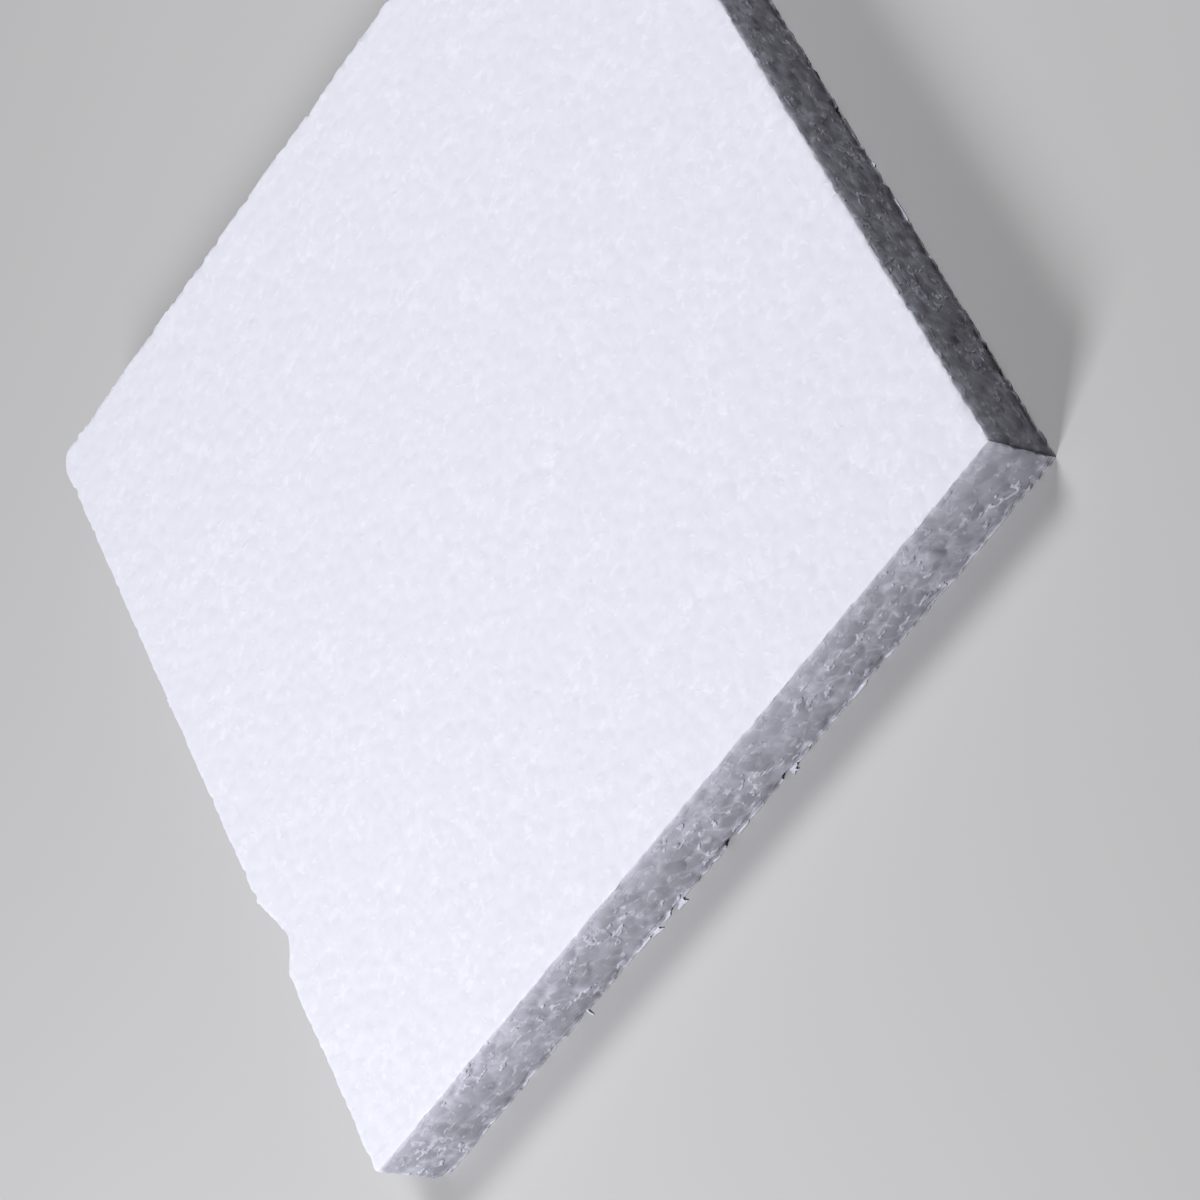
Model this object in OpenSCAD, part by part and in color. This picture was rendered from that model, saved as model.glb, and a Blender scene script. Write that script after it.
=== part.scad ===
// Foam block: a flat square slab of white bead foam, cut from sheet.
// The slab lies on its underside, with its origin at the middle of that face.
// +Z is up, the front side faces -Y and the right side faces +X.
// Its four cut sides are ragged at the scale of one bead, a wedge has broken out
// of the left side, and single beads are gone from its edges.

/* [Slab] */
// Width of the slab, left to right
slab_w = 300; // [150:1:600]
// Depth of the slab, front to back
slab_d = 300; // [150:1:600]
// Thickness of the sheet that it was cut from
slab_t = 26; // [15:0.5:60]

/* [Beads] */
// Diameter of one foam bead
bead_d = 5; // [3:0.1:8]
// How far the beads of a cleanly cut side stand back from its line
clean_rag = 0.4; // [0.05:0.05:1]
// How far the beads of the roughly cut back side stand back
rough_rag = 0.8; // [0.05:0.05:2]

/* [Upright corners] */
// Radius of the front left corner
front_left_r = 1.5; // [0.2:0.1:10]
// Radius of the front right corner
front_right_r = 0.6; // [0.2:0.1:10]
// Radius of the back right corner
back_right_r = 1; // [0.2:0.1:10]
// Radius of the back left corner, which is worn
back_left_r = 6; // [0.2:0.1:20]

/* [Broken wedge] */
// Distance from the front side to the near end of the break
wedge_start = 77; // [20:1:110]
// Length of the break's short, steep stretch
wedge_steep = 10; // [3:0.5:20]
// Length of the break's long, gentle stretch
wedge_gentle = 19; // [5:0.5:30]
// Greatest depth of the break
wedge_depth = 6; // [1:0.5:15]

/* [Crumbled corner] */
// Size of the dent where the lower front left corner crumbled
crumble_d = 12; // [6:0.5:24]
// Depth of that dent, measured along the corner's diagonal
crumble_bite = 3; // [1:0.5:5]

/* [Hidden] */
$fn = 48;
foam_white = [0.93, 0.93, 0.96];
// How far a cut reaches past the faces that it opens
past = 1;
// Steps in a quarter turn of a corner
corner_steps = 4;

// The sides run anticlockwise, seen from above
FRONT = 0;
RIGHT = 1;
BACK = 2;
LEFT = 3;
SIDES = [FRONT, RIGHT, BACK, LEFT];

// The slab is a stack of courses, each one bead high
courses = round(slab_t / bead_d);
course_t = slab_t / courses;
// Each course lies this share of a bead to one side, and the next as much to the other
stagger = 0.25;

// Beads lost from an edge: [place along the side, as a share of it; depth of the bite, in beads]
front_low_lost = [[0.4, 0.18], [0.5, 0.44], [0.59, 0.32]];
right_low_lost = [[0.11, 0.34], [0.14, 0.4], [0.47, 0.46]];
back_top_lost = [[0.45, 0.2], [0.486, 0.34], [0.513, 0.2]];
left_top_lost = [[0.052, 0.28], [0.357, 0.16], [0.412, 0.18], [0.609, 0.26], [0.641, 0.3]];

// A repeatable random share from 0 to 1 for the whole number n
function chance(n) =
    let (spread = sin(n * 127.1) * 43758.5453)
    spread - floor(spread);

// The same for one bead: its place in the row, its course and the surface that it lies in
function bead_chance(i, course, surface) = chance(i + 200 * course + 1000 * surface);

// Length of one side of the slab
function side_length(side) = side == FRONT || side == BACK ? slab_w : slab_d;

// Radius of the corner where a side begins
function corner_r(side) = [front_left_r, front_right_r, back_right_r, back_left_r][side % len(SIDES)];

function rag_of(side) = side == BACK ? rough_rag : clean_rag;

// Place in the slab's frame of a point that lies `along` a side and `inward` of its line
function on_side(side, along, inward) =
    side == FRONT ? [along - slab_w / 2, inward - slab_d / 2] :
    side == RIGHT ? [slab_w / 2 - inward, along - slab_d / 2] :
    side == BACK ? [slab_w / 2 - along, slab_d / 2 - inward] :
    [inward - slab_w / 2, slab_d / 2 - along];

// The rounded corner at the start of a side
function corner(side) =
    let (r = corner_r(side))
    [for (k = [0 : corner_steps])
        let (turn = 90 * k / corner_steps)
        on_side(side, r * (1 - cos(turn)), r * (1 - sin(turn)))];

// One course of a cut side between its two corners, with a point for each bead
function cut_side(side, course) =
    let (
        start = corner_r(side),
        run = side_length(side) - start - corner_r(side + 1),
        beads = ceil(run / bead_d),
        shift = course % 2 == 0 ? stagger : -stagger
    )
    [for (i = [1 : beads - 1])
        on_side(side, start + run * (i + shift) / beads, rag_of(side) * bead_chance(i, course, side))];

// Depth of the break at a distance from its near end
function break_depth(y) = y < wedge_steep
    ? wedge_depth * sin(90 * y / wedge_steep)
    : wedge_depth * (1 - (y - wedge_steep) / wedge_gentle);

// One course of the broken face, from its near end to its far end
function break_line(course) =
    let (
        length = wedge_steep + wedge_gentle,
        steps = ceil(2 * length / bead_d)
    )
    [for (i = [0 : steps])
        let (y = length * i / steps)
        [break_depth(y) + clean_rag * bead_chance(i, course, len(SIDES)), y]];

// The slab as it was cut, before anything broke off
module cut_slab() {
    for (course = [0 : courses - 1])
        translate([0, 0, course * course_t])
            linear_extrude(course_t)
                polygon([for (side = SIDES) each concat(corner(side), cut_side(side, course))]);
}

// The wedge that broke out of the left side, right through the thickness
module broken_wedge() {
    length = wedge_steep + wedge_gentle;
    for (course = [0 : courses - 1]) {
        below = course == 0 ? past : 0;
        above = course == courses - 1 ? past : 0;
        translate([-slab_w / 2, wedge_start - slab_d / 2, course * course_t - below])
            linear_extrude(course_t + below + above)
                polygon(concat([[-past, length], [-past, 0]], break_line(course)));
    }
}

// The socket of one bead, which bites `bite` beads deep into an edge
module lost_bead(side, share, bite, z, outward_z) {
    outside = bead_d * (0.5 - bite) / sqrt(2);
    place = on_side(side, share * side_length(side), -outside);
    translate([place.x, place.y, z + outward_z * outside]) sphere(d = bead_d);
}

// The dent where the lower front left corner crumbled
module crumbled_corner() {
    outside = (crumble_d / 2 - crumble_bite) / sqrt(3);
    translate([-slab_w / 2 - outside, -slab_d / 2 - outside, -outside]) sphere(d = crumble_d);
}

module foam_block() {
    color(foam_white)
        difference() {
            cut_slab();
            broken_wedge();
            crumbled_corner();
            for (lost = front_low_lost) lost_bead(FRONT, lost[0], lost[1], 0, -1);
            for (lost = right_low_lost) lost_bead(RIGHT, lost[0], lost[1], 0, -1);
            for (lost = back_top_lost) lost_bead(BACK, lost[0], lost[1], slab_t, 1);
            for (lost = left_top_lost) lost_bead(LEFT, lost[0], lost[1], slab_t, 1);
        }
}

foam_block();
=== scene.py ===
# %% [markdown]
# # A slab of white bead foam
#
# This lesson dresses one plain solid, a foam slab of 300 x 300 x 26 mm, so that it looks like the real thing.
# Bead foam is made by steaming small plastic beads in a mould until they swell and fuse. A slab cut from it
# shows each bead as a little rounded cell about 5 mm across, on the broad faces as well as on the cut sides.
# The lesson has three steps: a lattice of beads, a closed mesh that the lattice pushes in and out, and a
# finish that reads the same lattice, so that the fine grain and the modelled bumps agree.

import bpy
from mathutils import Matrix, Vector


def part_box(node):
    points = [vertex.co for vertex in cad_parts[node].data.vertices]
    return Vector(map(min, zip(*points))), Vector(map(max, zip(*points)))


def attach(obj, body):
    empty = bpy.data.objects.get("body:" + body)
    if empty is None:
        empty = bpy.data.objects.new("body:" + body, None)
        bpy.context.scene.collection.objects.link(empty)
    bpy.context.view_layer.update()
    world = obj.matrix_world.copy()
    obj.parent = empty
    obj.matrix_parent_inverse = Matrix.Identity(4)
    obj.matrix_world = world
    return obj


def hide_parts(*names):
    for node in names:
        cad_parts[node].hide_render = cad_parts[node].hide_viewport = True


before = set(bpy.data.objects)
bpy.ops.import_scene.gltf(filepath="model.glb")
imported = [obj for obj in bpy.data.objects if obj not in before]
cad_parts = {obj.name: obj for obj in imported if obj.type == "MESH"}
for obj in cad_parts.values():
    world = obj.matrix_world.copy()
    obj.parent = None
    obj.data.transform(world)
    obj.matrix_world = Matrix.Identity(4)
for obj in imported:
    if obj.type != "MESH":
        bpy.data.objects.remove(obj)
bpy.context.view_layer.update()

import math

import bpy
import numpy as np
from mathutils import Matrix, Vector
from mathutils.geometry import tessellate_polygon

MM = 0.001
low, high = (np.array(corner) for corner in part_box("foam_block"))
SLAB = high - low
print("slab in mm:", np.round(SLAB / MM, 2))

# %% [markdown]
# ## Camera
#
# The block is seen from in front, from its right and from above, through a long lens, and the camera is
# turned on its side by nearly a quarter turn. A camera in Blender looks along its own -Z, with its own +Y
# up in the picture, so the view is a position and two directions. The position is worked out from an aim
# point on the slab, a distance and two angles, and the roll then turns the picture about the line of sight.

# %% Camera
AIM = Vector((6.6, -65.4, 13.0)) * MM
DISTANCE = 1361.5 * MM
AZIMUTH = math.radians(-52.24)
ELEVATION = math.radians(40.27)
ROLL = math.radians(77.93)
LENS = 143.2

toward_camera = Vector((math.cos(ELEVATION) * math.cos(AZIMUTH),
                        math.cos(ELEVATION) * math.sin(AZIMUTH),
                        math.sin(ELEVATION)))
camera_data = bpy.data.cameras.new("camera")
camera_data.lens = LENS
camera_data.sensor_width = 36.0
camera_data.clip_end = 20.0
camera = bpy.data.objects.new("camera", camera_data)
camera.rotation_euler = (toward_camera.to_track_quat("Z", "Y").to_matrix()
                         @ Matrix.Rotation(-ROLL, 3, "Z")).to_euler()
camera.location = AIM + toward_camera * DISTANCE
bpy.context.scene.collection.objects.link(camera)
bpy.context.scene.camera = camera
print("camera at", [round(x, 4) for x in camera.location])

# %% [markdown]
# ## Beads
#
# Foam beads pack like a crowd: evenly, but in no order. A Voronoi pattern has that look. Space is cut into
# cubes, one seed is thrown at random into each cube, and each point belongs to its nearest seed. The seeds
# here come from the same hash of the cube's three whole numbers that Blender's own Voronoi Texture uses, so
# the beads of the mesh and the beads of the finish are the same beads.

# %% The lattice of bead seeds
BEAD = 5.0 * MM
RANDOMNESS = 0.9


def turned(x, k):
    """The 32 bits of x turned left by k places."""
    return (x << np.uint32(k)) | (x >> np.uint32(32 - k))


def stirred(a, b, c):
    """The middle of the hash: six rounds, in each of which one number is changed by its two neighbours."""
    for k in (4, 6, 8, 16, 19, 4):
        a = a - c
        a = a ^ turned(c, k)
        c = c + b
        a, b, c = b, c, a
    return a, b, c


def settled(a, b, c):
    """The end of the hash: seven rounds of the same kind, of which the last number is the result."""
    for k in (14, 11, 25, 16, 4, 14, 24):
        c = (c ^ b) - turned(b, k)
        a, b, c = b, c, a
    return b


def cell_chances(cells):
    """Three random shares from 0 to 1 for each cube of space, from the bits of its whole-number place."""
    x, y, z = (np.ascontiguousarray(cells[..., i], np.float32).view(np.uint32) for i in range(3))
    start = np.uint32((0xDEADBEEF + 3 * 4 + 13) & 0xFFFFFFFF)
    hashes = [settled(x + start, y + start, z + start)]
    start = np.uint32((0xDEADBEEF + 4 * 4 + 13) & 0xFFFFFFFF)
    for extra in (1.0, 2.0):
        a, b, c = stirred(x + start, y + start, z + start)
        hashes.append(settled(a + np.float32(extra).view(np.uint32), b, c))
    return np.stack(hashes, -1) / 0xFFFFFFFF


MARGIN = 3
first_cell = np.floor(low / BEAD).astype(int) - MARGIN
last_cell = np.ceil(high / BEAD).astype(int) + MARGIN
axes = [np.arange(a, b + 1) for a, b in zip(first_cell, last_cell)]
LATTICE = cell_chances(np.stack(np.meshgrid(*axes, indexing="ij"), -1))
print("bead seeds:", LATTICE.shape[:3], "mean chance", round(float(LATTICE.mean()), 3))

# %% [markdown]
# Each point of the surface asks the lattice three things: how far its own bead's seed lies, how far the wall
# to the next bead lies, and which bead it is. A seed can't lie further than one cube away from the point's
# own cube, so 27 seeds are enough, and each of them is compared for all points at once.

# %% Distances to the beads
STEPS = np.stack(np.meshgrid(*[(-1, 0, 1)] * 3, indexing="ij"), -1).reshape(-1, 3)


def beads_at(points):
    """For each point, in bead pitches: the way to its own seed, the distance to the wall of its bead, and the
    gap between its nearest and third nearest seed. The wall is the plane half way between two seeds. The last
    result is the three chances of its bead."""
    cube = np.floor(points / BEAD).astype(int)
    inside = (points / BEAD - cube).astype(np.float32)
    chances = [LATTICE[tuple((cube + step - first_cell).T)] for step in STEPS]
    ways = np.stack([step + RANDOMNESS * chance - inside for step, chance in zip(STEPS, chances)])
    distances = np.linalg.norm(ways, axis=2)
    nearest = distances.argmin(0)
    each = np.arange(len(points))
    own = ways[nearest, each]
    apart = ways - own
    gap = np.linalg.norm(apart, axis=2)
    reach = np.abs(np.einsum("nij,nij->ni", ways + own, apart)) / (2 * np.maximum(gap, 1e-6))
    wall = np.where(gap > 1e-3, reach, np.inf).min(0)
    ordered = np.partition(distances, 2, axis=0)
    return own, wall, ordered[2] - ordered[0], np.stack(chances)[nearest, each]


probe = np.random.default_rng(1).uniform(low, high, (2000, 3))
print("mean distance to a bead wall in mm:", round(float(beads_at(probe)[1].mean() * BEAD / MM), 2))

# %% [markdown]
# ## The slab's own shape
#
# The surface is laid out like a box with a square net on its top, a square net on its underside and a band
# round its sides. The band's rings and the nets' borders share their points, so the mesh is closed from the
# start. Three maps then shape it in plan. One rounds the upright corners, one lets the line of each cut
# wander and its arrises crumble by a fraction of a millimetre, and one presses in the wedge that broke out of
# the left side. The last two fade out towards the middle of the slab, so that the net stays even.

# %% Plan of the slab
ACROSS = 400
HALF = SLAB[:2] / 2
CORNER_R = {(-1, -1): 1.5 * MM, (1, -1): 0.6 * MM, (1, 1): 1.0 * MM, (-1, 1): 6.0 * MM}
WEDGE_START, WEDGE_STEEP, WEDGE_GENTLE, WEDGE_DEPTH = (x * MM for x in (77.0, 10.0, 19.0, 6.0))
FADE = 40 * MM


def corners_rounded(plan):
    """Inside the square of one radius at each corner, the distance from the arc's centre becomes the larger
    of its two parts, which turns the square's edge into the arc."""
    for side, radius in CORNER_R.items():
        centre = side * (HALF - radius)
        away = plan - centre
        inside = (away * side > 0).all(1)
        length = np.maximum(np.linalg.norm(away, axis=1), 1e-9)
        share = np.abs(away).max(1) / length
        plan = np.where(inside[:, None], centre + away * share[:, None], plan)
    return plan


# How far the line of each cut side wanders inwards, and how much its short waves count against its long ones
WANDER = {(0, -1): (0.35 * MM, 0.6), (1, 0): (0.35 * MM, 0.6),
          (0, 1): (0.6 * MM, 0.1), (-1, 0): (0.4 * MM, 0.4)}
WAVES = np.array([58, 31, 17, 9.5, 6.5]) * MM
# How far the lower and the upper arris of each side have crumbled back, and how high such crumbs reach
CRUMBLED = {(0, -1): (0.55 * MM, 0.28 * MM), (1, 0): (0.50 * MM, 0.45 * MM),
            (0, 1): (0.80 * MM, 1.00 * MM), (-1, 0): (0.60 * MM, 0.60 * MM)}
CRUMB_LENGTH, CRUMB_REACH = 2.1 * MM, 2.5 * MM


def wander(along, calm, seed):
    """A share from 0 to 1 that drifts along a side: sine waves with chance phases, each as strong as its
    length to the power `calm`."""
    phases = np.random.default_rng(seed).uniform(0, 2 * math.pi, len(WAVES))
    strength = WAVES ** calm
    waves = np.sin(2 * math.pi * along[:, None] / WAVES + phases) @ strength
    return 0.5 + 0.5 * waves / strength.sum()


def crumbs(along, seed):
    """Shares from 0 to 1 in steps along a side: a new chance level for each crumb, mostly a low one, and a
    short ramp from one level to the next."""
    levels = np.random.default_rng(seed).uniform(0, 1, 1 + math.ceil(3 * HALF[0] / CRUMB_LENGTH)) ** 2
    place = (along + 1.2 * HALF[0]) / CRUMB_LENGTH
    step = np.floor(place).astype(int)
    ramp = ((place - step - 0.5) / 0.5 + 0.5).clip(0, 1)
    return levels[step] + (levels[step + 1] - levels[step]) * ramp


def sides_wandered(plan, z):
    """Points move inwards from each side by its wander and, near an arris, by its crumbs as well. Both grow
    less and less until FADE from that side."""
    near_arris = [math.exp(-(gap / CRUMB_REACH) ** 2) for gap in (z, SLAB[2] - z)]
    for seed, (side, (depth, calm)) in enumerate(WANDER.items()):
        out = np.array(side)
        inward = HALF[0] - plan @ out
        along = plan @ out[::-1]
        shift = depth * wander(along, calm, seed)
        for level, (deepest, share) in enumerate(zip(CRUMBLED[side], near_arris)):
            shift = shift + deepest * share * crumbs(along, 10 + 2 * seed + level)
        plan = plan - (shift * (1 - inward / FADE).clip(0))[:, None] * out
    return plan


def break_depth(y):
    """The break is a quarter of a sine wave deep over its steep stretch, then a straight slope back out."""
    steep = np.sin(np.clip(y / WEDGE_STEEP, 0, 1) * math.pi / 2)
    gentle = 1 - np.clip((y - WEDGE_STEEP) / WEDGE_GENTLE, 0, 1)
    return WEDGE_DEPTH * steep * gentle


def wedge_pressed(plan):
    """Points move to the right by the break's depth, less and less until FADE from the left side."""
    from_left = plan[:, 0] + HALF[0]
    depth = break_depth(plan[:, 1] + HALF[1] - WEDGE_START)
    return plan + np.outer(depth * (1 - from_left / FADE).clip(0), (1, 0))


def net(places, inset, z):
    """Points of a square net that reaches to `inset` from the sides and lies at height z. Its places are
    counted in rows from front to back."""
    row, rank = np.divmod(places, ACROSS + 1)
    square = (2 * np.stack([row, rank], -1) / ACROSS - 1) * (HALF - inset)
    plan = wedge_pressed(sides_wandered(corners_rounded(square), z))
    return np.column_stack([plan, np.full(len(plan), z)])


# The net's border, anticlockwise from the front left corner, as places in the net
steps = np.arange(ACROSS)
border_x = np.concatenate([steps, np.full(ACROSS, ACROSS), ACROSS - steps, np.zeros(ACROSS, int)])
border_y = np.concatenate([np.zeros(ACROSS, int), steps, np.full(ACROSS, ACROSS), ACROSS - steps])
BORDER = border_x * (ACROSS + 1) + border_y
print("points round the slab:", len(BORDER), "one every", round(SLAB[0] / ACROSS / MM, 2), "mm")

# %% [markdown]
# The band round the sides follows a profile: a small quarter round at the lower arris, an upright wall and a
# softer quarter round at the upper arris. A profile is a list of pairs, how far in and how high, and each
# pair makes one ring.

# %% Closed mesh of the slab
LOWER_ROUND, UPPER_ROUND = 0.15 * MM, 0.6 * MM
LIP_STEPS, LIP_TOP, UPRIGHT_STEPS, ROUND_STEPS = 7, 2.4 * MM, 30, 4

# The plain broad faces lie back by this much, so that the proudest beads reach the slab's full thickness
FACE_BACK = 0.07 * MM

quarter = np.linspace(0, math.pi / 2, ROUND_STEPS + 1)
lower = LOWER_ROUND * (1 - np.stack([np.sin(quarter), np.cos(quarter)], -1)) + (0, FACE_BACK)
upper = UPPER_ROUND * (1 - np.stack([np.cos(quarter), np.sin(quarter)], -1)) * (1, -1)
upper = upper + (0, SLAB[2] - FACE_BACK)
lip = np.linspace(lower[-1], (0, LIP_TOP), LIP_STEPS + 1)[1:]
upright = np.linspace(lip[-1], upper[0], UPRIGHT_STEPS + 1)[1:-1]
PROFILE = np.vstack([lower, lip, upright, upper])


rings = [net(BORDER, inset, z) for inset, z in PROFILE]
interior = np.setdiff1d(np.arange((ACROSS + 1) ** 2), BORDER)
under, over = (net(interior, inset, z) for inset, z in (PROFILE[0], PROFILE[-1]))
base = np.vstack(rings + [under, over])


def net_numbers(border_first, interior_first):
    """Which point of the mesh each place of a net is: its border lies in a ring, its interior further on."""
    numbers = np.empty((ACROSS + 1) ** 2, int)
    numbers[BORDER] = border_first + np.arange(len(BORDER))
    numbers[interior] = interior_first + np.arange(len(interior))
    return numbers.reshape(ACROSS + 1, ACROSS + 1)


def squares(n):
    """The four corners of each square of a grid of point numbers, anticlockwise where the first index runs
    to the right."""
    return np.stack([n[:-1, :-1], n[1:, :-1], n[1:, 1:], n[:-1, 1:]], -1).reshape(-1, 4)


ring_numbers = np.arange(len(PROFILE) * len(BORDER)).reshape(len(PROFILE), -1)
band = squares(np.concatenate([ring_numbers, ring_numbers[:, :1]], 1).T)
under_net = squares(net_numbers(0, ring_numbers.size))[:, ::-1]
over_net = squares(net_numbers(ring_numbers[-1, 0], ring_numbers.size + len(interior)))
base_faces = np.vstack([band, under_net, over_net])


def mesh_of(name, points, faces):
    """A mesh from whole arrays of points and of faces that all have the same number of corners."""
    mesh = bpy.data.meshes.new(name)
    mesh.vertices.add(len(points))
    mesh.vertices.foreach_set("co", points.astype(np.float32).ravel())
    mesh.loops.add(faces.size)
    mesh.loops.foreach_set("vertex_index", faces.astype(np.int32).ravel())
    mesh.polygons.add(len(faces))
    mesh.polygons.foreach_set("loop_start", np.arange(0, faces.size, faces.shape[1], dtype=np.int32))
    mesh.update(calc_edges=True)
    return mesh


def outward(mesh):
    """The smooth normal of each point of a mesh, as rows of an array."""
    normals = np.zeros(len(mesh.vertices) * 3, np.float32)
    mesh.vertex_normals.foreach_get("vector", normals)
    return normals.reshape(-1, 3).astype(float)


base_mesh = mesh_of("plain_slab", base, base_faces)
OUT = outward(base_mesh)
print("points:", len(base), "faces:", len(base_faces), "top faces up:", OUT[-1, 2] > 0.9)

# %% [markdown]
# ## Bead relief
#
# The two kinds of face differ. The broad faces lay against the mould, which pressed the beads nearly flat and
# left a shallow seam between them. The sides were cut, and there each bead stands out or lies back a little,
# leans its own way, and falls off in a soft dome towards its seam. So each part of the relief has two
# depths, one for a moulded face and one for a cut side, and a mask blends between them across the arris.

# %% Relief of the beads
LIFT = (0.04 * MM, 0.16 * MM)
LEAN = (0.03 * MM, 0.10 * MM)
DOME = (0.05 * MM, 0.06 * MM)
SEAM = (0.05 * MM, 0.02 * MM)
SEAM_WIDTH = 0.12
PIT = (0.05 * MM, 0.10 * MM)
PIT_WIDTH = 0.18
# The back and left sides were cut more roughly, so there the relief is this much deeper
ROUGH_BACK, ROUGH_LEFT = 3.0, 1.8
# A cut side is torn back a little in a narrow band just above its lower arris, which leaves a thin lip there
TORN_DEPTH, TORN_HEIGHT, TORN_WIDTH = 0.30 * MM, 1.3 * MM, 0.6 * MM


def eased(x):
    """A share that leaves 0 and reaches 1 gently: three times its square less twice its cube."""
    x = np.clip(x, 0, 1)
    return x * x * (3 - 2 * x)


def dot(a, b):
    return np.einsum("ij,ij->i", a, b)


def cut_share(normals):
    """1 where the surface stands upright, as a cut side does, and 0 where it lies flat."""
    return 1 - eased((np.abs(normals[:, 2]) - 0.35) / 0.5)


def bell(x):
    """1 at nought, falling off smoothly on both sides, nearly 0 from 2 on."""
    return np.exp(-x ** 2)


def relief(points, out):
    """Depth of the surface below its plain form. Most beads lie flush and a few stand out or lie back, so a
    bead's own level is the cube of a chance from -1 to 1 times the lift. Its lean is the way to its seed
    along a chance direction, its dome grows with the square of the distance from its middle, and the seams,
    the pits where three beads meet and the torn band are bell curves. The torn band comes and goes along a
    side."""
    own, wall, third, chances = beads_at(points)
    cut = cut_share(out)
    rough = 1 + cut * ((ROUGH_BACK - 1) * out[:, 1].clip(0) + (ROUGH_LEFT - 1) * (-out[:, 0]).clip(0))
    across = own - out * dot(own, out)[:, None]

    def blend(pair):
        return (pair[0] + (pair[1] - pair[0]) * cut) * rough

    level = blend(LIFT) * (2 * chances[:, 0] - 1) ** 3
    lean = blend(LEAN) * dot(across, 2 * chances - 1)
    dome = blend(DOME) * 4 * dot(across, across).clip(0, 1)
    seam = blend(SEAM) * bell(wall / SEAM_WIDTH)
    pit = blend(PIT) * bell(third / PIT_WIDTH)
    along = points[:, 0] + points[:, 1]
    torn = TORN_DEPTH * cut * wander(along, 0.3, 5) * bell((points[:, 2] - TORN_HEIGHT) / TORN_WIDTH)
    return level + lean + dome + seam + pit + torn


depth = relief(base, OUT)
carved = base - OUT * depth[:, None]
carved[:, 2] = carved[:, 2].clip(0, SLAB[2])
print("relief depth in mm, least and most:", np.round(np.array([depth.min(), depth.max()]) / MM, 3))

# %% [markdown]
# ## Lost beads
#
# Where a bead has come off an arris it leaves its socket, a part of a ball. A point that lies inside the ball
# is pushed straight away from the ball's middle until it lies on the ball, which turns that stretch of the
# mesh into the socket without a cut. The places with names are the ones seen on the real slab. Many smaller
# ones at chance places make the arrises as uneven as those of brittle foam are.

# %% Sockets along the arrises
SIDES = {"front": (0, -1), "right": (1, 0), "back": (0, 1), "left": (-1, 0)}
# Side, distance from its start anticlockwise, depth of the bite, and whether it is in the upper arris
LOST = [("front", 74.6, 0.9, False), ("front", 120.7, 1.2, False), ("front", 148.9, 2.2, False),
        ("front", 176.2, 1.9, False), ("right", 33, 1.7, False), ("right", 42, 2.0, False),
        ("right", 141, 2.3, False), ("back", 134, 1.0, True), ("back", 145.9, 1.8, True),
        ("back", 154, 1.0, True), ("left", 15.6, 1.4, True), ("left", 107, 0.8, True),
        ("left", 123.6, 0.9, True), ("left", 182.8, 1.3, True), ("left", 192.4, 1.5, True)]
# How many chance sockets a side has in its lower and in its upper arris, and how deep the deepest are
CHIPS = {"front": ((30, 0.6), (14, 0.3)), "right": ((26, 0.5), (22, 0.4)),
         "back": ((40, 0.7), (50, 0.7)), "left": ((30, 0.5), (30, 0.5))}
CRUMBLE_D, CRUMBLE_BITE = 12 * MM, 3 * MM
# Shallow sockets in the upright arris between the front and the right side: height and depth of the bite
WORN_CORNER = [(2.6, 0.5), (6.4, 0.9), (11.8, 0.6), (15.4, 0.8), (21.2, 0.6)]


def on_side(side, along, inward, z):
    """Points given by their distances from the start of a side, from its face and from the ground."""
    out = np.array(SIDES[side])
    run = np.array((-out[1], out[0]))
    plan = HALF * (out - run) + np.multiply.outer(along, run) - np.multiply.outer(inward, out)
    return np.concatenate([plan, np.expand_dims(z, -1)], -1)


def arris_ball(side, along, bite, upper):
    """Middle of the ball of one bead that bites `bite` deep into an arris, measured on the slope between the
    two faces."""
    outside = (BEAD / 2 - bite) / math.sqrt(2)
    return on_side(side, along, -outside, SLAB[2] + outside if upper else -outside)


rng = np.random.default_rng(7)
balls = [(arris_ball(side, along * MM, bite * MM, upper), BEAD / 2) for side, along, bite, upper in LOST]
for side, chips in CHIPS.items():
    for upper, (count, deepest) in enumerate(chips):
        places = rng.uniform(4 * MM, SLAB[0] - 4 * MM, count)
        bites = deepest * MM * rng.uniform(0, 1, count) ** 2 + 0.3 * MM
        balls += [(arris_ball(side, along, bite, upper), BEAD / 2) for along, bite in zip(places, bites)]
for z, bite in WORN_CORNER:
    outside = (BEAD / 2 - bite * MM) / math.sqrt(2)
    balls.append((on_side("right", -outside, -outside, z * MM), BEAD / 2))
outside = (CRUMBLE_D / 2 - CRUMBLE_BITE) / math.sqrt(3)
balls.append((on_side("front", -outside, -outside, -outside), CRUMBLE_D / 2))

for middle, radius in balls:
    away = carved - middle
    distance = np.linalg.norm(away, axis=1)
    held = distance < radius
    carved[held] = middle + away[held] * (radius / distance[held])[:, None]
print("sockets:", len(balls))

# %% [markdown]
# ## Thinning the mesh
#
# The even net has far more points than flat beads need. Blender's Decimate modifier joins the points whose
# loss changes the shape least, so the points that stay gather along the seams and the arrises.

# %% Thinned mesh
TRIANGLES = 185000


def thinned(mesh, triangles):
    """Points and triangles of the mesh with about this many triangles left, by collapsing the edges that
    matter least."""
    worker = bpy.data.objects.new("worker", mesh)
    bpy.context.scene.collection.objects.link(worker)
    decimate = worker.modifiers.new("decimate", "DECIMATE")
    decimate.ratio = triangles / (2 * len(mesh.polygons))
    decimate.use_collapse_triangulate = True
    result = worker.evaluated_get(bpy.context.evaluated_depsgraph_get()).to_mesh()
    points = np.zeros(len(result.vertices) * 3, np.float32)
    result.vertices.foreach_get("co", points)
    corners = np.zeros(len(result.loops), np.int32)
    result.loops.foreach_get("vertex_index", corners)
    bpy.data.objects.remove(worker)
    return points.reshape(-1, 3), corners.reshape(-1, 3)


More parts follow.
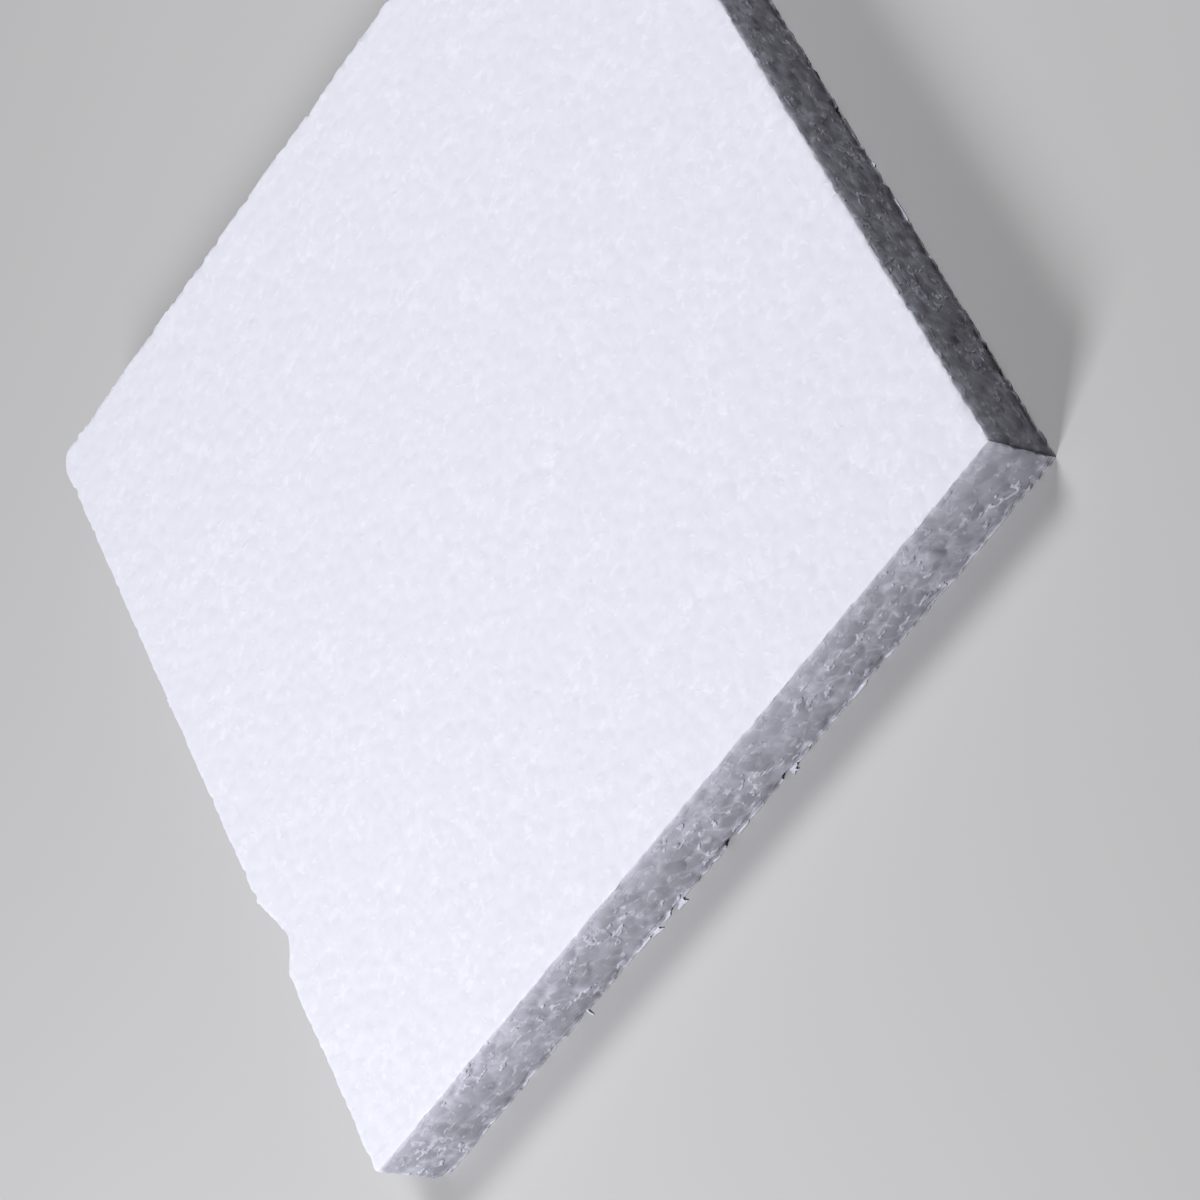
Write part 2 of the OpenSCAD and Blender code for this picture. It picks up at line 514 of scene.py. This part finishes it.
slab_points, slab_triangles = thinned(mesh_of("carved_slab", carved, base_faces), TRIANGLES)
print("points left:", len(slab_points), "triangles left:", len(slab_triangles))

# %% [markdown]
# ## Torn flakes
#
# The knife pulled scraps of bead skin out of the arrises, and they still hang there: sharp little plates that
# stick out, and long low lips that lie along the arris. Each is a thin plate cut to an outline, whose inner
# corners lie inside the slab, so that the scrap grows out of it.

# %% Flakes of bead skin
FLAKE_THICK = 0.16 * MM
# How much a flake that sticks out drops for each millimetre of its length
FLAKE_DROP = 0.15
# Side, height of the flake where it leaves the side, and its outline: distances along the side and out of it
FLAKES = [
    ("front", 0.4, [(75.9, -1.2), (76.7, -1.2), (77.1, 0.6), (77.9, 1.9), (77.6, 2.3), (76.7, 0.9)]),
    ("front", 0.3, [(100.6, -1.2), (102.4, -0.1), (105.5, 0.0), (108.3, -0.1), (109.0, -1.2)]),
    ("front", 0.4, [(110.4, -1.2), (112.6, -1.2), (112.8, 0.4), (114.1, 1.2),
                    (112.9, 1.1), (110.6, 0.6), (109.0, 0.7), (110.4, 0.2)]),
    ("front", 0.3, [(113.4, -1.2), (115.2, -0.1), (116.8, 0.1), (118.2, 0.15), (119.0, -1.2)]),
    ("front", 0.5, [(123.4, -1.2), (124.8, -1.2), (125.1, 0.6), (126.2, 1.6),
                    (124.0, 1.1), (122.0, 1.3), (121.6, 0.6), (122.9, 0.1)]),
    ("front", 0.3, [(139.4, -1.2), (140.6, -0.1), (143.0, 0.0), (144.2, -1.2)]),
    ("front", 0.3, [(151.2, -1.2), (152.4, 0.0), (156.7, -0.05), (158.4, -1.2)]),
    ("front", 0.5, [(177.6, -1.3), (179.4, -1.3), (180.9, -0.7), (180.7, 0.1), (179.4, 0.4),
                    (180.3, 1.3), (179.1, 0.9), (178.2, 1.4), (177.9, 0.2)]),
    ("front", 0.3, [(205.6, -1.2), (207.5, -0.1), (213.0, -0.1), (214.6, -1.2)]),
    ("right", 0.3, [(94.6, -1.2), (95.4, -0.15), (99.5, -0.1), (104.0, -0.2), (104.8, -1.2)]),
    ("right", 0.3, [(117.0, -1.2), (118.2, 0.2), (119.4, -0.1), (120.0, -1.2)]),
    ("back", 25.3, [(60.2, -2.5), (61.3, 0.2), (62.6, -0.6), (63.4, -2.5)]),
    ("back", 0.5, [(205.0, -2.5), (206.4, 0.6), (208.8, -0.1), (209.2, -2.5)]),
    ("left", 25.4, [(108.6, -1.8), (109.5, 0.1), (110.9, -0.2), (112.3, 0.2), (112.8, -1.8)]),
]


def flake(side, height, outline):
    """Points and triangles of a thin plate: the outline twice, one above the other, a cap on each, and a wall
    of two triangles for each edge. The plate sinks as it leaves the side, but it stays above the ground."""
    along, out = np.array(outline).T * MM
    middle = np.maximum(height * MM - FLAKE_DROP * out.clip(0), 0.6 * FLAKE_THICK)
    lower_copy = on_side(side, along, -out, middle - FLAKE_THICK / 2)
    upper_copy = on_side(side, along, -out, middle + FLAKE_THICK / 2)
    cap = np.array(tessellate_polygon([[Vector(point) for point in upper_copy]]))
    a, b, c = (upper_copy[cap[:, i]] for i in range(3))
    faces_down = np.cross(b - a, c - a)[:, 2] < 0
    cap[faces_down] = cap[faces_down, ::-1]
    number = np.arange(len(outline))
    after = np.roll(number, -1)
    x, y = upper_copy[:, 0], upper_copy[:, 1]
    if (x * y[after] - y * x[after]).sum() < 0:
        number, after = after, number
    wall = np.vstack([np.stack([number, after, after + len(outline)], -1),
                      np.stack([number, after + len(outline), number + len(outline)], -1)])
    return np.vstack([lower_copy, upper_copy]), np.vstack([cap[:, ::-1], cap + len(outline), wall])


all_points, all_triangles = [slab_points], [slab_triangles]
for side, height, outline in FLAKES:
    points, triangles = flake(side, height, outline)
    all_triangles.append(triangles + sum(len(earlier) for earlier in all_points))
    all_points.append(points)
print("flakes:", len(FLAKES), "triangles in them:", sum(map(len, all_triangles)) - len(slab_triangles))

# %% [markdown]
# The slab and its flakes become one mesh, smooth where it is slab and flat where it is flake. Smooth shading
# would smear light and dark across the crisp arrises, so an edge that turns by more than SHARP_ANGLE degrees
# stays sharp. The mesh also carries a mask, 1 on the cut sides and 0 on the moulded faces and on the flakes,
# because the finish differs between them as much as the relief does.

# %% The piece
SHARP_ANGLE = 38
slab_mesh = mesh_of("bead_foam_slab", np.vstack(all_points), np.vstack(all_triangles))
slab_mesh.polygons.foreach_set("use_smooth", np.arange(len(slab_mesh.polygons)) < len(slab_triangles))
slab_mesh.set_sharp_from_angle(angle=math.radians(SHARP_ANGLE))
cut_values = cut_share(outward(slab_mesh))
cut_values[len(slab_points):] = 0
cut_mask = slab_mesh.attributes.new("cut", "FLOAT", "POINT")
cut_mask.data.foreach_set("value", cut_values.astype(np.float32))
slab = bpy.data.objects.new("bead_foam_slab", slab_mesh)
bpy.context.scene.collection.objects.link(slab)
print("triangles:", len(slab_mesh.polygons), "size in mm:", np.round(np.array(slab.dimensions) / MM, 2))

# %% [markdown]
# ## Writing a finish as sums
#
# A finish in Blender is a graph of nodes, and a graph of many small sums is hard to read. The two classes
# here let Python write them. A `Wire` is one output socket, and adding or multiplying it adds the Math node
# that does so. A `Finish` is a material, and its method `node` adds any other node.

# %% Wires and finishes


class Wire:
    """An output socket on which Python's arithmetic works."""

    def __init__(self, finish, socket):
        self.finish = finish
        self.socket = socket

    def math(self, operation, *values, clamp=False):
        settings = {"operation": operation, "use_clamp": clamp}
        return self.finish.node("ShaderNodeMath", settings, dict(enumerate(values)))

    def __add__(self, other):
        return self.math("ADD", self, other)

    def __sub__(self, other):
        return self.math("SUBTRACT", self, other)

    def __rsub__(self, other):
        return self.math("SUBTRACT", other, self)

    def __mul__(self, other):
        return self.math("MULTIPLY", self, other)

    __radd__ = __add__
    __rmul__ = __mul__

    def clamped(self):
        return self.math("ADD", self, 0.0, clamp=True)

    def above(self, level, softness):
        """0 well below the level, 1 well above it, and a straight ramp of this length between them."""
        return ((self - level) * (1 / softness) + 0.5).clamped()

    def bell(self, width):
        """1 where the value is nought, falling off smoothly as it grows past the width."""
        return self.math("EXPONENT", self * self * (-1 / width ** 2))

    def fading(self, length):
        """1 where the value is nought, and about a third of that after each further length."""
        return self.math("EXPONENT", self * (-1 / length))

    def output(self, name):
        """Another output of the same node."""
        return Wire(self.finish, self.socket.node.outputs[name])


class Finish:
    """A material that is built up node by node."""

    def __init__(self, name):
        self.material = bpy.data.materials.new(name)
        self.material.use_nodes = True
        self.tree = self.material.node_tree
        self.tree.nodes.clear()

    def node(self, kind, settings, inputs, output=0):
        """A new node: its settings are set first, then each input gets its value or its link."""
        made = self.tree.nodes.new(kind)
        for name, value in settings.items():
            setattr(made, name, value)
        for name, value in inputs.items():
            if isinstance(value, Wire):
                self.tree.links.new(value.socket, made.inputs[name])
            else:
                made.inputs[name].default_value = value
        return Wire(self, made.outputs[output])

    def scaled(self, vector, factor):
        """A vector or colour times a number."""
        return self.node("ShaderNodeVectorMath", {"operation": "SCALE"}, {0: vector, "Scale": factor})

    def coat(self, mesh, shader):
        """Make the shader the material's surface and give the material to the mesh."""
        output = self.tree.nodes.new("ShaderNodeOutputMaterial")
        self.tree.links.new(shader.socket, output.inputs["Surface"])
        mesh.materials.append(self.material)


# %% [markdown]
# ## Finish of the foam
#
# Up close the foam isn't plain white. The skin between two beads is denser and whiter than the beads, and
# where the knife passed it stands up as short soft strokes along the walls of the beads, painted lighter on
# the upper side of each bead as a painted highlight where the rims face the light from above. Torn skin
# leaves small bright tufts near those walls, and both gather in patches with calmer ones between them. Close
# to the upper and the lower arris the knife drew the skin out into fibres. A cut side is also darker than a
# moulded face, partly as greyer cut foam and partly as painted shade. Close to that face's pale skin it is
# painted lighter again for the light that comes through the foam, and lighter towards the top, with a thin
# painted highlight along the lower arris. Glints lighten the colour as painted highlights. All of it is far
# shallower than the beads themselves, so it is a bump, and the same masks change the colour and the gloss.

# %% Bead foam
FOAM_WHITE = (0.812, 0.822, 0.922, 1.0)
# The same white where it is cut, a touch more violet. The shade below makes it darker as well
CUT_WHITE = (0.828, 0.822, 0.968, 1.0)
foam = Finish("bead_foam")
place = foam.node("ShaderNodeTexCoord", {}, {}, "Object")
cut = foam.node("ShaderNodeAttribute", {"attribute_name": "cut"}, {}, "Fac")


def cloud(per_metre, detail, where=place):
    """Soft noise around 0.5, with this many swings in a metre."""
    return foam.node("ShaderNodeTexNoise", {}, {"Vector": where, "Scale": per_metre, "Detail": detail})


# The walls between the beads are bent a little by noise, so that they aren't ruled lines
MIDDLE_GREY = (0.5, 0.5, 0.5)
wave = cloud(330.0, 0.0)
swing = foam.node("ShaderNodeVectorMath", {"operation": "SUBTRACT"},
                  {0: wave.output("Color"), 1: MIDDLE_GREY})
bent = foam.node("ShaderNodeVectorMath", {}, {0: place, 1: foam.scaled(swing, 1.6 * MM)})
lattice = {"Vector": bent, "Scale": 1 / BEAD, "Randomness": RANDOMNESS}
wall = foam.node("ShaderNodeTexVoronoi", {"feature": "DISTANCE_TO_EDGE"}, lattice)
bead = foam.node("ShaderNodeTexVoronoi", {}, lattice)
chance = foam.node("ShaderNodeSeparateColor", {}, {"Color": bead.output("Color")})

# Strokes: the walls of the beads where a noise is high, mostly on the upper side of each bead. That
# weighting is a painted highlight of the rims that face the light from above.
seed_way = foam.node("ShaderNodeVectorMath", {"operation": "SUBTRACT"}, {0: bent, 1: bead.output("Position")})
above_seed = foam.node("ShaderNodeSeparateXYZ", {}, {"Vector": seed_way}, "Z") * (1 / BEAD)
ridge = wall.bell(0.12) * wave.above(0.50, 0.22)
stroke_and_painted_rim_light = ridge * (above_seed.above(0.12, 0.35) * 0.75 + 0.25)
# Knots: the places furthest from every seed, where several beads meet
knot = bead.above(0.66, 0.16)
# Tufts: the peaks of a fine noise that is pressed flat, near the walls of the beads. Glints: rarer peaks,
# which also lighten the colour as a painted highlight
pressed = foam.node("ShaderNodeVectorMath", {"operation": "MULTIPLY"}, {0: place, 1: (1.0, 1.0, 1.4)})
tuft = cloud(310.0, 1.0, pressed).above(0.645, 0.10) * wall.bell(0.34)
peaks = foam.node("ShaderNodeSeparateColor", {}, {"Color": wave.output("Color")})
glint = peaks.output("Green").above(0.74, 0.08)
# Swell: slow waves about a bead long. Clumps: their crests, where the foam is a little whiter
swell = cloud(150.0, 1.0)
clump = swell.above(0.60, 0.14)
# Patches a few beads wide in which the strokes and the tufts are strong, between calmer ones
patch = cloud(70.0, 0.0).above(0.54, 0.14) * 0.95 + 0.58

# Fibres: a noise drawn out along the sides, in a band under the upper arris and in one over the lower arris
height = foam.node("ShaderNodeSeparateXYZ", {}, {"Vector": place}, "Z") * (1 / MM)
drop = SLAB[2] / MM - height
drawn_out = foam.node("ShaderNodeVectorMath", {"operation": "MULTIPLY"}, {0: place, 1: (1.0, 1.0, 12.0)})
fibre = cloud(130.0, 0.0, drawn_out).above(0.56, 0.16)
bands = ((height - 1.7).bell(1.2) + (drop - 1.9).bell(1.1) * 0.8) * swell.above(0.46, 0.2) * cut

torn_up = (ridge * 0.04 + tuft * 0.13) * patch * (cut * 0.85 + 0.15)
relief_mm = torn_up + swell * 0.20 + glint * 0.05 + bands * fibre * 0.06
bump = foam.node("ShaderNodeBump", {}, {"Strength": 1.0, "Distance": MM, "Height": relief_mm})

# A cut side is darker than the skins, partly as greyer cut foam and partly as painted shade of the sides.
# Painted light: it is lighter again close to the skin of each broad face, for the light that comes through
# the foam, and lighter towards the top, and lip is a thin painted highlight along the lower arris.
lip = (0.7 - height).above(0.0, 0.4) * swell.above(0.42, 0.2)
painted_glow = drop.fading(2.8) * 0.44 + (height - 13.0) * 0.009 + lip * 0.45
bright = (stroke_and_painted_rim_light * 0.19 + tuft * 0.46 + knot * 0.10 + clump * 0.14) * patch
bright = bright + (chance - 0.5) * 0.14 + (swell - 0.5) * 0.16 - 0.015
drawn_skin = bands * (fibre * 0.30 - 0.08)
shade = 1 - cut * 0.30 + bright * (cut * 0.88 + 0.12) + cut * painted_glow + glint * 0.06 + drawn_skin
white = foam.node("ShaderNodeMix", {"data_type": "RGBA"}, {0: cut, 6: FOAM_WHITE, 7: CUT_WHITE}, 2)
colour = foam.scaled(white, shade.math("MINIMUM", shade, 1.08))
rough = 0.72 - glint * 0.35 - tuft * 0.15

surface = foam.node("ShaderNodeBsdfPrincipled", {},
                    {"Base Color": colour, "Roughness": rough, "Normal": bump, "IOR": 1.3})
foam.coat(slab_mesh, surface)
print("nodes in the foam's finish:", len(foam.tree.nodes))

# %% [markdown]
# ## Floor and light
#
# The floor is a plain sheet. To the camera it is pale, but it throws less light back on the slab than such a
# sheet would, so that the cut sides stay clearly darker than the top. One soft lamp, low in front and to the
# left, rakes across the top and lights the front side. A second one, above and a little behind to the right,
# brings the top up to white and only grazes the right side. The surround lifts the shadows a little.

# %% Floor
FLOOR_SEEN, FLOOR_THROWN = (0.56, 0.56, 0.57, 1.0), (0.06, 0.06, 0.06, 1.0)
FLOOR_HALF = 4.0
square = FLOOR_HALF * np.array([(-1, -1, 0), (1, -1, 0), (1, 1, 0), (-1, 1, 0)])
floor_mesh = mesh_of("floor", square, np.array([[0, 1, 2, 3]]))
floor = bpy.data.objects.new("floor", floor_mesh)
bpy.context.scene.collection.objects.link(floor)

sheet = Finish("floor_sheet")
ray = sheet.node("ShaderNodeLightPath", {}, {}, "Is Camera Ray")
seen = (ray + ray.output("Is Glossy Ray") + ray.output("Is Transmission Ray")).clamped()
tone = sheet.node("ShaderNodeMix", {"data_type": "RGBA"}, {0: seen, 6: FLOOR_THROWN, 7: FLOOR_SEEN}, 2)
matte = sheet.node("ShaderNodeBsdfPrincipled", {}, {"Base Color": tone, "Roughness": 0.9})
sheet.coat(floor_mesh, matte)

# %% Lights


def soft_lamp(name, direction, distance, size, power):
    """A square lamp in a direction from the slab, turned to face it."""
    lamp = bpy.data.lights.new(name, "AREA")
    lamp.size = size
    lamp.energy = power
    holder = bpy.data.objects.new(name, lamp)
    away = Vector(direction).normalized()
    holder.location = away * distance
    holder.rotation_euler = away.to_track_quat("Z", "Y").to_euler()
    bpy.context.scene.collection.objects.link(holder)


soft_lamp("main_lamp", (-0.60, -0.58, 0.55), 1.3, 0.45, 13.9)
soft_lamp("overhead_lamp", (0.265, 0.36, 0.88), 1.3, 0.45, 9.8)
world = bpy.data.worlds.new("surround")
world.use_nodes = True
world.node_tree.nodes["Background"].inputs["Color"].default_value = (1, 1, 1, 1)
world.node_tree.nodes["Background"].inputs["Strength"].default_value = 0.02
bpy.context.scene.world = world
bpy.context.scene.view_settings.view_transform = "Standard"

# %% Hand the piece over
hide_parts("foam_block")
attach(slab, "root")
